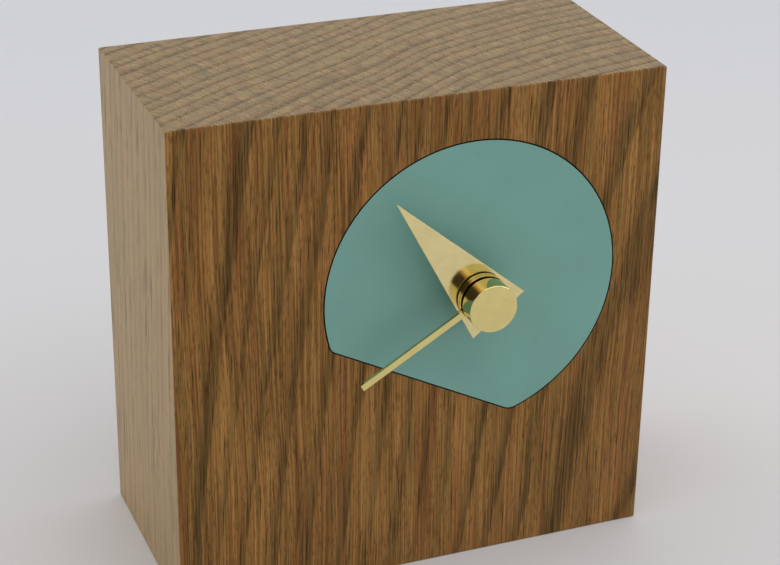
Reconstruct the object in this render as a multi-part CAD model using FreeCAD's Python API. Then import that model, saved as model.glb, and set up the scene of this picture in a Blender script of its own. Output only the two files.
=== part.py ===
import FreeCAD, Part
import os
from math import acos, atan2, cos, hypot, pi, radians, sin

# Mantel clock: an oak block with an inlaid dial, brass hands and a quartz movement behind.
# Millimetres. X is to the right of someone facing the clock, Y runs from front to back,
# Z is up. The origin is the centre of the block's underside.
#
# Most pieces are drawn from the hub axis, which runs straight through the block:
#   u      sideways from the hub axis, v up from it
#   depth  distance behind the block's front face, so pieces in front of it are negative

# ---- Wooden block -------------------------------------------------------------------
BLOCK_W = 150.0
BLOCK_D = 70.0
BLOCK_H = 152.4
BLOCK_EDGE = 0.5                # easing of the outside edges
HUB_X = 15.5
HUB_Z = 91.8
POCKET = 64.0                   # square pocket for the movement, open at the back
POCKET_CORNER = 3.0
POCKET_FLOOR = 10.0             # depth of the pocket's floor
SHAFT_HOLE_R = 4.5
GASKET = 50.0

# ---- Dial ---------------------------------------------------------------------------
DIAL_R = 45.5
DIAL_CUT = 32.15                # hub axis to the dial's straight edge
DIAL_CUT_TURN = -117.6          # direction from the hub axis to that edge, degrees
DIAL_THICK = 2.0
DIAL_GAP = 0.45                 # gap round the dial in its recess
DIAL_HOLE_R = 4.1
DIAL_CORNERS = (3.0, 4.0)       # corner radii at the left and right end of the edge

# ---- Hands and hub ------------------------------------------------------------------
HAND_THICK = 1.0
HAND_EDGE = 0.08                # chamfer round the front of each hand
HOUR_TURN = 320.9               # clockwise from twelve, at rest
HOUR_TIP = 43.2
HOUR_TAIL = 8.3
HOUR_WIDTH = 20.3
HOUR_BACK = -7.0
MINUTE_TURN = 239.1
MINUTE_TIP = 43.5
MINUTE_WIDTH = 2.0
MINUTE_BACK = -8.1
MINUTE_RING = 1.1               # thickness of the minute hand's round boss
MINUTE_SET_BACK = 0.1          # from the boss's front to the bar's
KNOB_R = 7.35
KNOB_FRONT = -15.95
KNOB_NECK = 1.1                 # dark groove between the boss and the knob
KNOB_NECK_R = 6.4
KNOB_CHAMFER = 0.12
PIPE_IN_KNOB = 4.0              # how far the minute pipe reaches into the knob
ARBOR_IN_KNOB = 0.8             # how far the bore for the seconds arbor goes on past it
ARBOR_BORE_R = 0.8

# ---- Concentric tubes on the hub axis -----------------------------------------------
SECONDS_R = 0.55
MINUTE_BORE_R = 0.62
MINUTE_PIPE_R = 1.75
HOUR_BORE_R = 1.80
HOUR_PIPE_R = 2.75
BUSH_BORE_R = 2.80
BUSH_R = 4.0
BUSH_FRONT = -4.2
THREAD_PITCH = 0.75
THREAD_DEPTH = 0.4
BUSH_FLANGE_R = 5.4
BUSH_FLANGE = 0.6
WASHER_R = 6.0
WASHER_THICK = 0.5
NUT_FLATS = 11.0
NUT_THICK = 2.2
NUT_BEVEL = 0.5
COLLET_R = 4.5
COLLET_PLAY = 0.2               # between the collet and the front of the bush

# ---- Movement case ------------------------------------------------------------------
CASE = 56.0
CASE_CORNER = 3.0
CASE_FRONT = 11.0
CASE_WALL = 1.2
COVER_FRONT = 25.8
CASE_BACK = 27.0
INSIDE = CASE / 2 - CASE_WALL
FLOOR = CASE_FRONT + CASE_WALL
BAY_TOP = -11.4                 # battery bay below, gears above, and a wall between
GEARS_BOTTOM = -10.4
BRIDGE_FRONT = 18.2
BRIDGE_BACK = 18.8
PIVOT_R = 0.25
PIVOT_HOLE_R = 0.30
PIVOT_LENGTH = 0.5
PILLAR_R = 1.3
PILLAR_PIN_R = 0.6
GEARS_CORNER = 1.5              # inside corner radii of the two compartments
BAY_CORNER = 1.0
THIRD_BOSS_R = 1.2
SETTING_BOSS_WALL = 0.8
BEARING_R = 1.1                 # raised bosses round the rear cover's bearing holes
BEARING_RAISED = 0.4
KNOB_RIM = (8.0, 7.0, 0.6)      # outer and inner radius and height of the ring round the knob
CLIP = (4.0, 0.8, 6.5)          # width, thickness and length of the cover's side clips
CLIP_PLACES = (-2.0, 18.0)
COVER_RIBS = (20.0, 22.5, 25.0)
RIB_SPAN = (-18.0, 6.0)
RIB_SIZE = (1.0, 0.4)           # width and height
BRIDGE = (-18.0, 15.6, -10.2, 15.8)
BRIDGE_CORNER = 1.2
BRIDGE_THIRD_HOLE_R = 1.5
FINGER_SLOT = 8.0               # half width of the notch for lifting the battery

# ---- Battery, AA size ---------------------------------------------------------------
BATTERY_R = 7.25
BATTERY_LEFT = -24.0
BATTERY_RIGHT = 25.5
BATTERY_NUB = 1.0
BATTERY_NUB_R = 2.75
BATTERY_RIM = 0.7
BATTERY_V = -19.2
BATTERY_DEPTH = 19.6
JACKET = 0.15

# ---- Gears --------------------------------------------------------------------------
GEAR_THICK = 0.6
MOTION_THICK = 0.8              # the motion work's gears are thicker
PINION_EXTRA = 0.2              # a pinion stands this far past its wheel on each side
ARBOR_R = 0.45
THIRD_ARBOR_R = 0.6
CENTRE_TEETH = 64
THIRD_PINION_TEETH = 8
THIRD_TEETH = 60
SECONDS_PINION_TEETH = 8
SECONDS_TEETH = 50
FIFTH_PINION_TEETH = 10
FIFTH_TEETH = 48
ROTOR_TEETH = 8
CANNON_TEETH = 12
MINUTE_TEETH = 36
MINUTE_PINION_TEETH = 10
HOUR_TEETH = 40
SETTING_TEETH = 12
SETTING_SHAFT_R = 1.5
SETTING_PIVOT_R = 1.0
SETTING_KNOB_R = 6.0
SETTING_KNOB = (28.2, 31.2)     # depths of the knob's front and back
SETTING_SHAFT_END = 30.0
SETTING_FLUTES = 20
MINUTE_POST_R = 0.75
RUNNING = 0.05                  # radial clearance of a plastic gear on its post

THIRD_DISTANCE = 9.0            # hub axis to third wheel
FIFTH_DISTANCE = 7.5            # hub axis to fifth wheel
ROTOR_DISTANCE = 5.6            # fifth wheel to rotor
MINUTE_DISTANCE = 9.0           # hub axis to minute wheel, and on to the setting shaft
THIRD_PIVOT_FRONT = 15.6        # depth of the third wheel's front pivot hole

HOUR_LEVEL = 13.0               # depths at which each pair of gears meets
CANNON_LEVEL = 14.2
CENTRE_LEVEL = 17.0
THIRD_LEVEL = 19.2
SECONDS_LEVEL = 21.2
FIFTH_LEVEL = 23.0

WHEEL_TOOTH = {"width": 1.30, "addendum": 0.80, "dedendum": 1.20, "shares": (1.15, 1.0, 0.62, 0.25)}
PINION_TOOTH = {"width": 0.95, "addendum": 0.65, "dedendum": 1.20, "shares": (0.95, 1.0, 0.82, 0.45)}

# ---- Motor --------------------------------------------------------------------------
MAGNET_R = 2.6
MAGNET_FRONT = 19.0
MAGNET_BACK = 20.8
STATOR_HOLE_R = 3.1
STATOR_RING_R = 4.6
STATOR_THICK = 0.8
STATOR_POSTS = (-13.0, 21.0)    # u of the two posts that hold stator and core
STATOR_BAR = (13.4, 16.0)       # bottom and top of the legs' level run
STATOR_NOTCHES = (70, 250)      # the rotor's two resting places, degrees
POST_R = 1.5
POST_PIN_R = 0.8
POST_SHOULDER = 0.9             # extra radius of the posts under the circuit board
POST_PIN_PROUD = 0.6
LEG_END = 1.6
LEG_OVERLAP = 2.0               # how far a leg's end reaches into the ring
NOTCH_R = 0.45
COIL_V = 20.5
COIL_DEPTH = 20.0
COIL_LEFT = -9.0
COIL_RIGHT = 17.0
COIL_FLANGE = 0.8
COIL_FLANGE_R = 3.6
WINDING_R = 3.2
BOBBIN_R = 1.6
CORE_WIDTH = 2.4
CORE_THICK = 0.8

# ---- Circuit board ------------------------------------------------------------------
BOARD_HALF_W = 25.0
BOARD_BOTTOM = 16.6
BOARD_TOP = 26.2
BOARD_FRONT = 13.4
BOARD_BACK = 14.2
BOARD_CORNER = 0.8
CONTACT_THICK = 0.3
CONTACT_SLOT = (13.9, 16.5)     # depths of the slot that lets a contact into the gear side
CONTACT_BOTTOM = -25.2
CONTACT_PLATE = (13.4, 25.0)    # depths of the wide part in the battery bay
CONTACT_STRIP_BACK = 16.2
CONTACT_TAB = (17.0, 19.0)      # bottom and top of the tab soldered to the board
CONTACT_TAB_LENGTH = 1.5
LEAF_HALF = 3.0                 # half width of the spring leaf, along the depth
LEAF_FOOT = 6.0                 # v of the leaf's ends, from the battery's axis
LEAF_CREST = 0.9
CHIP = (2.0, 21.4, 2.6, 1.1)    # u, v, radius and height of the drop of resin
CRYSTAL = (-23.5, 24.0, 1.0)    # u of its left end, v, and radius
CRYSTAL_LENGTH = 6.0
LEAD_R = 0.15
LEAD_LENGTH = 2.0
LEAD_APART = 0.4                # half the distance between the leads

INTO = FreeCAD.Vector(0, 1, 0)
RIGHT = FreeCAD.Vector(1, 0, 0)


# ---- Drawing tools ------------------------------------------------------------------
def place(u, v, depth):
    """A point given from the hub axis and the front face."""
    return FreeCAD.Vector(HUB_X + u, depth - BLOCK_D / 2, HUB_Z + v)


def polar(radius, turn):
    """(u, v) at an angle in radians, measured from the right towards the top."""
    return radius * cos(turn), radius * sin(turn)


def disc(radius, front, back, centre=(0.0, 0.0)):
    return Part.makeCylinder(radius, back - front, place(*centre, front), INTO)


def ring(outer, inner, front, back, centre=(0.0, 0.0)):
    return disc(outer, front, back, centre).cut(disc(inner, front, back, centre))


def block(left, right, bottom, top, front, back):
    return Part.makeBox(right - left, back - front, top - bottom, place(left, bottom, front))


def rounded_block(left, right, bottom, top, front, back, corner):
    """A block with its four edges along the depth rounded."""
    solid = block(left, right, bottom, top, front, back)
    return solid.makeFillet(corner, edges_into(solid))


def prism(outline, front, back):
    """A straight-sided (u, v) outline, carried from front to back."""
    points = [place(u, v, front) for u, v in outline]
    face = Part.Face(Part.makePolygon(points + points[:1]))
    return face.extrude(INTO * (back - front))


def turned(profile, centre=(0.0, 0.0)):
    """A (radius, depth) profile, turned about an axis along the depth."""
    u, v = centre
    points = [place(u + radius, v, depth) for radius, depth in profile]
    face = Part.Face(Part.makePolygon(points + points[:1]))
    return face.revolve(place(u, v, 0), INTO, 360)


def bar(radius, left, right, v, depth):
    """A round bar along u."""
    return Part.makeCylinder(radius, right - left, place(left, v, depth), RIGHT)


def edges_into(solid):
    """The straight edges that run along the depth."""
    found = []
    for edge in solid.Edges:
        ends = [vertex.Point for vertex in edge.Vertexes]
        across = hypot(ends[-1].x - ends[0].x, ends[-1].z - ends[0].z)
        if across < 1e-6 < abs(ends[-1].y - ends[0].y):
            found.append(edge)
    return found


def front_edges(solid):
    """The edges that lie in a prism's front face."""
    front = solid.BoundBox.YMin
    return [edge for edge in solid.Edges if edge.BoundBox.YMax < front + 1e-6]


def edge_at(solid, u, v):
    """The edge along the depth that passes nearest a (u, v) point."""
    spot = place(u, v, 0)

    def distance(edge):
        return hypot(edge.CenterOfMass.x - spot.x, edge.CenterOfMass.z - spot.z)

    return min(edges_into(solid), key=distance)


def one_solid(shape):
    """The single solid that a cut or a join should leave."""
    clean = shape.removeSplitter()
    assert len(clean.Solids) == 1, "the piece has fallen apart"
    return clean.Solids[0]


# ---- Gears --------------------------------------------------------------------------
def gear(teeth, module, phase, front, back, centre, tooth):
    """A toothed disc with one tooth centred at the angle phase."""
    pitch = module * teeth / 2
    half = tooth["width"] * module / 2 / pitch
    tip = tooth["addendum"] * module
    radii = (pitch - tooth["dedendum"] * module, pitch, pitch + 0.55 * tip, pitch + tip)
    flank = list(zip(radii, tooth["shares"]))
    outline = []
    for index in range(teeth):
        middle = phase + 2 * pi * index / teeth
        outline += [polar(radius, middle - half * share) for radius, share in flank]
        outline += [polar(radius, middle + half * share) for radius, share in reversed(flank)]
    return prism([(centre[0] + u, centre[1] + v) for u, v in outline], front, back)


def meshing_phase(teeth, centre, other_teeth, other_phase, other_centre):
    """The phase that puts a gap of this gear on a tooth of the other one."""
    towards = direction(other_centre, centre)
    other_share = (towards - other_phase) * other_teeth / (2 * pi)
    return towards + pi - 2 * pi / teeth * (0.5 - other_share)


def direction(start, end):
    """The angle of the line from one (u, v) point to another."""
    return atan2(end[1] - start[1], end[0] - start[0])


def spoked(solid, inner, outer, front, back, centre, spokes=4):
    """Lighten a wheel with round holes between its hub and its rim."""
    middle = (inner + outer) / 2
    for index in range(spokes):
        u, v = polar(middle, 2 * pi * (index + 0.5) / spokes)
        hole = disc((outer - inner) / 2, front, back, (centre[0] + u, centre[1] + v))
        solid = solid.cut(hole)
    return solid


# ---- Places of the gears ------------------------------------------------------------
HUB = (0.0, 0.0)
THIRD = polar(THIRD_DISTANCE, radians(150))
FIFTH = polar(FIFTH_DISTANCE, radians(60))
ROTOR = tuple(a + b for a, b in zip(FIFTH, polar(ROTOR_DISTANCE, radians(45))))
MINUTE = (MINUTE_DISTANCE, 0.0)
SETTING = (2 * MINUTE_DISTANCE, 0.0)

CENTRE_MODULE = 2 * THIRD_DISTANCE / (CENTRE_TEETH + THIRD_PINION_TEETH)
THIRD_MODULE = 2 * THIRD_DISTANCE / (THIRD_TEETH + SECONDS_PINION_TEETH)
SECONDS_MODULE = 2 * FIFTH_DISTANCE / (SECONDS_TEETH + FIFTH_PINION_TEETH)
FIFTH_MODULE = 2 * ROTOR_DISTANCE / (FIFTH_TEETH + ROTOR_TEETH)
CANNON_MODULE = 2 * MINUTE_DISTANCE / (CANNON_TEETH + MINUTE_TEETH)
HOUR_MODULE = 2 * MINUTE_DISTANCE / (HOUR_TEETH + MINUTE_PINION_TEETH)

PILLARS = ((-16.2, -8.7), (14.0, -8.7), (-16.2, 14.3), (14.0, 14.3))


# ---- Block and dial -----------------------------------------------------------------
def dial_outline(extra, front, back):
    """The round dial with a segment cut off and eased corners, larger all round by extra."""
    radius, cut = DIAL_R + extra, DIAL_CUT + extra
    segment = block(cut, 2 * radius, -radius, radius, front, back)
    segment.rotate(place(0, 0, 0), INTO, -DIAL_CUT_TURN)
    solid = disc(radius, front, back).cut(segment)
    middle, spread = radians(DIAL_CUT_TURN), acos(cut / radius)
    for turn, corner in zip((middle - spread, middle + spread), DIAL_CORNERS):
        solid = solid.makeFillet(corner + extra, [edge_at(solid, *polar(radius, turn))])
    return solid


def case_block():
    size = (BLOCK_W, BLOCK_D, BLOCK_H)
    solid = Part.makeBox(*size, FreeCAD.Vector(-BLOCK_W / 2, -BLOCK_D / 2, 0))
    solid = solid.makeFillet(BLOCK_EDGE, solid.Edges)
    half = POCKET / 2
    pocket = rounded_block(-half, half, -half, half, POCKET_FLOOR, BLOCK_D + 1, POCKET_CORNER)
    solid = solid.cut(pocket)
    solid = solid.cut(dial_outline(DIAL_GAP, -1, DIAL_THICK))
    return solid.cut(disc(SHAFT_HOLE_R, 0, POCKET_FLOOR + 1))


def dial_plate():
    return dial_outline(0, 0, DIAL_THICK).cut(disc(DIAL_HOLE_R, -1, DIAL_THICK + 1))


# ---- Fixing of the movement ---------------------------------------------------------
def rubber_gasket():
    half = GASKET / 2
    pad = rounded_block(-half, half, -half, half, POCKET_FLOOR, CASE_FRONT, CASE_CORNER)
    return pad.cut(disc(SHAFT_HOLE_R, POCKET_FLOOR - 1, CASE_FRONT + 1))


def threaded_bush():
    """A brass tube, threaded outside, with a flange inside the movement's case."""
    flange_back = FLOOR + BUSH_FLANGE
    root = BUSH_R - THREAD_DEPTH
    profile = [(BUSH_BORE_R, BUSH_FRONT), (root, BUSH_FRONT)]
    ridges = int((CASE_FRONT - BUSH_FRONT) / THREAD_PITCH)
    for index in range(ridges):
        start = BUSH_FRONT + index * THREAD_PITCH
        profile += [(BUSH_R, start + THREAD_PITCH / 2), (root, start + THREAD_PITCH)]
    profile += [(BUSH_R, CASE_FRONT), (BUSH_R, FLOOR), (BUSH_FLANGE_R, FLOOR)]
    profile += [(BUSH_FLANGE_R, flange_back), (BUSH_BORE_R, flange_back)]
    return turned(profile)


def dial_washer():
    return ring(WASHER_R, DIAL_HOLE_R, -WASHER_THICK, 0)


def fixing_nut():
    """A hexagon nut with its outer corners turned off."""
    corner = NUT_FLATS / 2 / cos(pi / 6)
    front, back = -WASHER_THICK - NUT_THICK, -WASHER_THICK
    hexagon = prism([polar(corner, pi / 3 * index) for index in range(6)], front, back)
    bevelled = turned([
        (0, front), (NUT_FLATS / 2, front), (corner, front + NUT_BEVEL), (corner, back), (0, back),
    ])
    return hexagon.common(bevelled).cut(disc(BUSH_R, front, back))


# ---- Hands --------------------------------------------------------------------------
def clock_frame(turn):
    """Two (u, v) directions for a hand: along it and square to it."""
    angle = radians(90 - turn)
    return (cos(angle), sin(angle)), (-sin(angle), cos(angle))


def hand_outline(turn, corners):
    """(along, across) points of a hand, as (u, v) points."""
    along, across = clock_frame(turn)
    return [(a * along[0] + b * across[0], a * along[1] + b * across[1]) for a, b in corners]


def hour_hand():
    """A long triangle of brass plate, fixed near its short side."""
    half = HOUR_WIDTH / 2
    corners = [(HOUR_TIP, 0), (-HOUR_TAIL, half), (-HOUR_TAIL, -half)]
    plate = prism(hand_outline(HOUR_TURN, corners), HOUR_BACK - HAND_THICK, HOUR_BACK)
    plate = plate.makeChamfer(HAND_EDGE, front_edges(plate))
    return plate.cut(disc(HOUR_PIPE_R, HOUR_BACK - HAND_THICK, HOUR_BACK))


def hour_hand_collet():
    return ring(COLLET_R, HOUR_PIPE_R, HOUR_BACK, BUSH_FRONT - COLLET_PLAY)


def minute_hand():
    """A flat brass bar let into a round boss the same size as the knob."""
    half = MINUTE_WIDTH / 2
    front = MINUTE_BACK - MINUTE_RING
    bar_front = front + MINUTE_SET_BACK
    corners = [(0, half), (0, -half), (MINUTE_TIP, -half), (MINUTE_TIP, half)]
    rod = prism(hand_outline(MINUTE_TURN, corners), bar_front, bar_front + HAND_THICK)
    rod = rod.makeChamfer(HAND_EDGE, front_edges(rod))
    boss = turned([
        (0, front), (KNOB_R - KNOB_CHAMFER, front), (KNOB_R, front + KNOB_CHAMFER),
        (KNOB_R, MINUTE_BACK), (0, MINUTE_BACK),
    ])
    return boss.fuse(rod).cut(disc(MINUTE_PIPE_R, front, MINUTE_BACK))


def hub_knob():
    """A solid round knob that screws onto the minute pipe and holds the minute hand."""
    back = MINUTE_BACK - MINUTE_RING
    rim = back - KNOB_NECK
    pipe_end = back - PIPE_IN_KNOB
    arbor_end = pipe_end - ARBOR_IN_KNOB
    return turned([
        (0, KNOB_FRONT), (KNOB_R - KNOB_CHAMFER, KNOB_FRONT), (KNOB_R, KNOB_FRONT + KNOB_CHAMFER),
        (KNOB_R, rim - KNOB_CHAMFER), (KNOB_R - KNOB_CHAMFER, rim), (KNOB_NECK_R, rim),
        (KNOB_NECK_R, back), (MINUTE_PIPE_R, back), (MINUTE_PIPE_R, pipe_end),
        (ARBOR_BORE_R, pipe_end), (ARBOR_BORE_R, arbor_end), (0, arbor_end),
    ])


# ---- Movement case ------------------------------------------------------------------
def beside(side, near, far, *rest):
    """A block between two distances from the hub axis, on its left (-1) or its right (1)."""
    left, right = sorted((side * near, side * far))
    return block(left, right, *rest)


def plate_ends():
    """Bottom and top of the contacts' wide part."""
    return CONTACT_BOTTOM, BAY_TOP - BAY_CORNER


def case_shell():
    """A tray with a compartment for the gears above and an open battery bay below."""
    half = CASE / 2
    tray = rounded_block(-half, half, -half, half, CASE_FRONT, CASE_BACK, CASE_CORNER)
    seat = block(-half, half, GEARS_BOTTOM, half, COVER_FRONT, CASE_BACK)
    gears = rounded_block(-INSIDE, INSIDE, GEARS_BOTTOM, INSIDE, FLOOR, CASE_BACK, GEARS_CORNER)
    bay = rounded_block(-INSIDE, INSIDE, -INSIDE, BAY_TOP, FLOOR, CASE_BACK, BAY_CORNER)
    finger = block(-FINGER_SLOT, FINGER_SLOT, -half, -INSIDE, BATTERY_DEPTH, CASE_BACK)
    tray = tray.cut([seat, gears, bay, finger])
    slot_ends = (BAY_TOP - BAY_CORNER, GEARS_BOTTOM + GEARS_CORNER)
    slots = [beside(side, INSIDE - 2 * CONTACT_THICK, INSIDE, *slot_ends, *CONTACT_SLOT) for side in (-1, 1)]
    plates = [beside(side, INSIDE - CONTACT_THICK, INSIDE, *plate_ends(), *CONTACT_PLATE) for side in (-1, 1)]
    return tray.cut(slots + plates)


def movement_front_case():
    """The moulded tray, with the posts and bearings on its floor."""
    posts = []
    post_end = BRIDGE_BACK + STATOR_THICK + CORE_THICK + POST_PIN_PROUD
    for centre in PILLARS:
        posts.append(disc(PILLAR_R, FLOOR, BRIDGE_FRONT, centre))
        posts.append(disc(PILLAR_PIN_R, BRIDGE_FRONT, BRIDGE_BACK, centre))
    for u in STATOR_POSTS:
        centre = (u, COIL_V)
        posts.append(disc(POST_R + POST_SHOULDER, FLOOR, BOARD_FRONT, centre))
        posts.append(disc(POST_R, BOARD_FRONT, BRIDGE_BACK, centre))
        posts.append(disc(POST_PIN_R, BRIDGE_BACK, post_end, centre))
    third_front = THIRD_PIVOT_FRONT + PIVOT_LENGTH + 0.3
    posts.append(disc(THIRD_BOSS_R, FLOOR, third_front, THIRD))
    posts.append(disc(MINUTE_POST_R, FLOOR, CANNON_LEVEL + MOTION_THICK + 0.7, MINUTE))
    posts.append(disc(SETTING_PIVOT_R + SETTING_BOSS_WALL, FLOOR, CANNON_LEVEL - 0.4, SETTING))
    holes = [
        disc(PIVOT_HOLE_R, THIRD_PIVOT_FRONT, third_front, THIRD),
        disc(SETTING_PIVOT_R + RUNNING, FLOOR, CANNON_LEVEL, SETTING),
        disc(BUSH_R, CASE_FRONT, FLOOR),
    ]
    return case_shell().fuse(posts).cut(holes)


def movement_rear_cover():
    """The lid over the gears, with blind bearing holes and a hole for the setting shaft."""
    half = CASE / 2
    lid = block(-half, half, GEARS_BOTTOM, half, COVER_FRONT, CASE_BACK)
    top_edges = [edge for edge in edges_into(lid) if edge.CenterOfMass.z > HUB_Z]
    lid = lid.makeFillet(CASE_CORNER, top_edges)
    bearings = (HUB, THIRD, FIFTH, ROTOR)
    boss_front = COVER_FRONT - BEARING_RAISED
    outer, inner, raised = KNOB_RIM
    wide, proud = RIB_SIZE
    added = [disc(BEARING_R, boss_front, COVER_FRONT, centre) for centre in bearings]
    added.append(ring(outer, inner, CASE_BACK, CASE_BACK + raised, SETTING))
    added += [block(*RIB_SPAN, v, v + wide, CASE_BACK, CASE_BACK + proud) for v in COVER_RIBS]
    width, thick, length = CLIP
    for v in CLIP_PLACES:
        for side in (-1, 1):
            added.append(beside(side, half, half + thick, v, v + width, CASE_BACK - length, CASE_BACK))
    holes = [disc(PIVOT_HOLE_R, boss_front, boss_front + 2 * PIVOT_LENGTH, centre) for centre in bearings]
    holes.append(disc(SETTING_SHAFT_R + 0.1, COVER_FRONT, CASE_BACK, SETTING))
    return lid.fuse(added).cut(holes)


def gear_bridge():
    """A thin plate between the gears and the motor, carried on four pillars."""
    plate = rounded_block(*BRIDGE, BRIDGE_FRONT, BRIDGE_BACK, BRIDGE_CORNER)
    holes = [(PILLAR_PIN_R, centre) for centre in PILLARS]
    holes += [(MINUTE_BORE_R, HUB), (BRIDGE_THIRD_HOLE_R, THIRD)]
    holes += [(PIVOT_HOLE_R, FIFTH), (PIVOT_HOLE_R, ROTOR)]
    return plate.cut([disc(radius, BRIDGE_FRONT, BRIDGE_BACK, centre) for radius, centre in holes])


# ---- Going train --------------------------------------------------------------------
CENTRE_PHASE = 0.0
THIRD_PINION_PHASE = meshing_phase(THIRD_PINION_TEETH, THIRD, CENTRE_TEETH, CENTRE_PHASE, HUB)
THIRD_PHASE = 0.0
SECONDS_PINION_PHASE = meshing_phase(SECONDS_PINION_TEETH, HUB, THIRD_TEETH, THIRD_PHASE, THIRD)
SECONDS_PHASE = 0.0
FIFTH_PINION_PHASE = meshing_phase(FIFTH_PINION_TEETH, FIFTH, SECONDS_TEETH, SECONDS_PHASE, HUB)
FIFTH_PHASE = 0.0
ROTOR_PHASE = meshing_phase(ROTOR_TEETH, ROTOR, FIFTH_TEETH, FIFTH_PHASE, FIFTH)
CANNON_PHASE = 0.0
MINUTE_PHASE = meshing_phase(MINUTE_TEETH, MINUTE, CANNON_TEETH, CANNON_PHASE, HUB)
SETTING_PHASE = meshing_phase(SETTING_TEETH, SETTING, MINUTE_TEETH, MINUTE_PHASE, MINUTE)
MINUTE_PINION_PHASE = 0.0
HOUR_PHASE = meshing_phase(HOUR_TEETH, HUB, MINUTE_PINION_TEETH, MINUTE_PINION_PHASE, MINUTE)


def arbor(radius, front, centre):
    """A steel shaft from front, with a thin pivot at its back end, in the rear cover."""
    shoulder = COVER_FRONT - 0.5
    shaft = disc(radius, front, shoulder, centre)
    return shaft.fuse(disc(PIVOT_R, shoulder, shoulder + 2 * PIVOT_LENGTH, centre))


def bridge_arbor(radius, centre):
    """An arbor whose front pivot runs in the gear bridge."""
    shaft = arbor(radius, BRIDGE_BACK + 0.1, centre)
    return shaft.fuse(disc(PIVOT_R, BRIDGE_FRONT, BRIDGE_BACK + 0.1, centre))


def wheel_at(teeth, module, phase, level, centre, thick=GEAR_THICK):
    return gear(teeth, module, phase, level, level + thick, centre, WHEEL_TOOTH)


def pinion_at(teeth, module, phase, level, centre):
    """A pinion that stands a little past the wheel it meets on both sides."""
    back = level + GEAR_THICK + PINION_EXTRA
    return gear(teeth, module, phase, level - PINION_EXTRA, back, centre, PINION_TOOTH)


def centre_wheel():
    level = (CENTRE_LEVEL, CENTRE_LEVEL + GEAR_THICK)
    wheel = wheel_at(CENTRE_TEETH, CENTRE_MODULE, CENTRE_PHASE, CENTRE_LEVEL, HUB)
    return spoked(wheel, 2.8, 6.8, *level, HUB).cut(disc(MINUTE_PIPE_R, *level))


def minute_pipe():
    """The cannon pinion: a brass tube that carries the minute hand, with a pinion at its back."""
    front = MINUTE_BACK - MINUTE_RING - PIPE_IN_KNOB
    back = CENTRE_LEVEL + GEAR_THICK + 0.2
    pinion = gear(CANNON_TEETH, CANNON_MODULE, CANNON_PHASE, CANNON_LEVEL,
                  CANNON_LEVEL + MOTION_THICK, HUB, PINION_TOOTH)
    return disc(MINUTE_PIPE_R, front, back).fuse(pinion).cut(disc(MINUTE_BORE_R, front, back))


def hour_wheel():
    """A toothed wheel with the long pipe that carries the hour hand."""
    front, back = HOUR_BACK - HAND_THICK, HOUR_LEVEL + MOTION_THICK
    wheel = wheel_at(HOUR_TEETH, HOUR_MODULE, HOUR_PHASE, HOUR_LEVEL, HUB, MOTION_THICK)
    return wheel.fuse(disc(HOUR_PIPE_R, front, back)).cut(disc(HOUR_BORE_R, front, back))


def minute_wheel():
    """The reduction between the cannon pinion and the hour wheel."""
    back = CANNON_LEVEL + MOTION_THICK
    wheel = wheel_at(MINUTE_TEETH, CANNON_MODULE, MINUTE_PHASE, CANNON_LEVEL, MINUTE, MOTION_THICK)
    wheel = spoked(wheel, 2.4, 5.6, CANNON_LEVEL, back, MINUTE)
    pinion = gear(MINUTE_PINION_TEETH, HOUR_MODULE, MINUTE_PINION_PHASE, HOUR_LEVEL, CANNON_LEVEL,
                  MINUTE, PINION_TOOTH)
    return wheel.fuse(pinion).cut(disc(MINUTE_POST_R + RUNNING, HOUR_LEVEL, back, MINUTE))


def third_wheel():
    wheel = wheel_at(THIRD_TEETH, THIRD_MODULE, THIRD_PHASE, THIRD_LEVEL, THIRD)
    wheel = spoked(wheel, 2.0, 6.4, THIRD_LEVEL, THIRD_LEVEL + GEAR_THICK, THIRD)
    pinion = pinion_at(THIRD_PINION_TEETH, CENTRE_MODULE, THIRD_PINION_PHASE, CENTRE_LEVEL, THIRD)
    shoulder = THIRD_PIVOT_FRONT + 2 * PIVOT_LENGTH
    shaft = arbor(THIRD_ARBOR_R, shoulder, THIRD)
    return wheel.fuse([pinion, shaft, disc(PIVOT_R, THIRD_PIVOT_FRONT + 0.1, shoulder, THIRD)])


def seconds_wheel():
    level = (SECONDS_LEVEL, SECONDS_LEVEL + GEAR_THICK)
    wheel = wheel_at(SECONDS_TEETH, SECONDS_MODULE, SECONDS_PHASE, SECONDS_LEVEL, HUB)
    return spoked(wheel, 1.6, 5.2, *level, HUB).cut(disc(SECONDS_R, *level))


def seconds_arbor():
    """A long steel wire through the minute pipe, with a pinion near its back end."""
    front = MINUTE_BACK - MINUTE_RING - PIPE_IN_KNOB - ARBOR_IN_KNOB / 2
    pinion = pinion_at(SECONDS_PINION_TEETH, THIRD_MODULE, SECONDS_PINION_PHASE, THIRD_LEVEL, HUB)
    return arbor(SECONDS_R, front, HUB).fuse(pinion)


def fifth_wheel():
    """The wheel that the rotor drives, with its pinion and arbor."""
    wheel = wheel_at(FIFTH_TEETH, FIFTH_MODULE, FIFTH_PHASE, FIFTH_LEVEL, FIFTH)
    pinion = pinion_at(FIFTH_PINION_TEETH, SECONDS_MODULE, FIFTH_PINION_PHASE, SECONDS_LEVEL, FIFTH)
    return wheel.fuse([pinion, bridge_arbor(ARBOR_R, FIFTH)])


# ---- Motor --------------------------------------------------------------------------
def rotor_pinion():
    pinion = pinion_at(ROTOR_TEETH, FIFTH_MODULE, ROTOR_PHASE, FIFTH_LEVEL, ROTOR)
    return pinion.fuse(bridge_arbor(ARBOR_R, ROTOR))


def rotor_magnet():
    return ring(MAGNET_R, ARBOR_R, MAGNET_FRONT, MAGNET_BACK, ROTOR)


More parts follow.
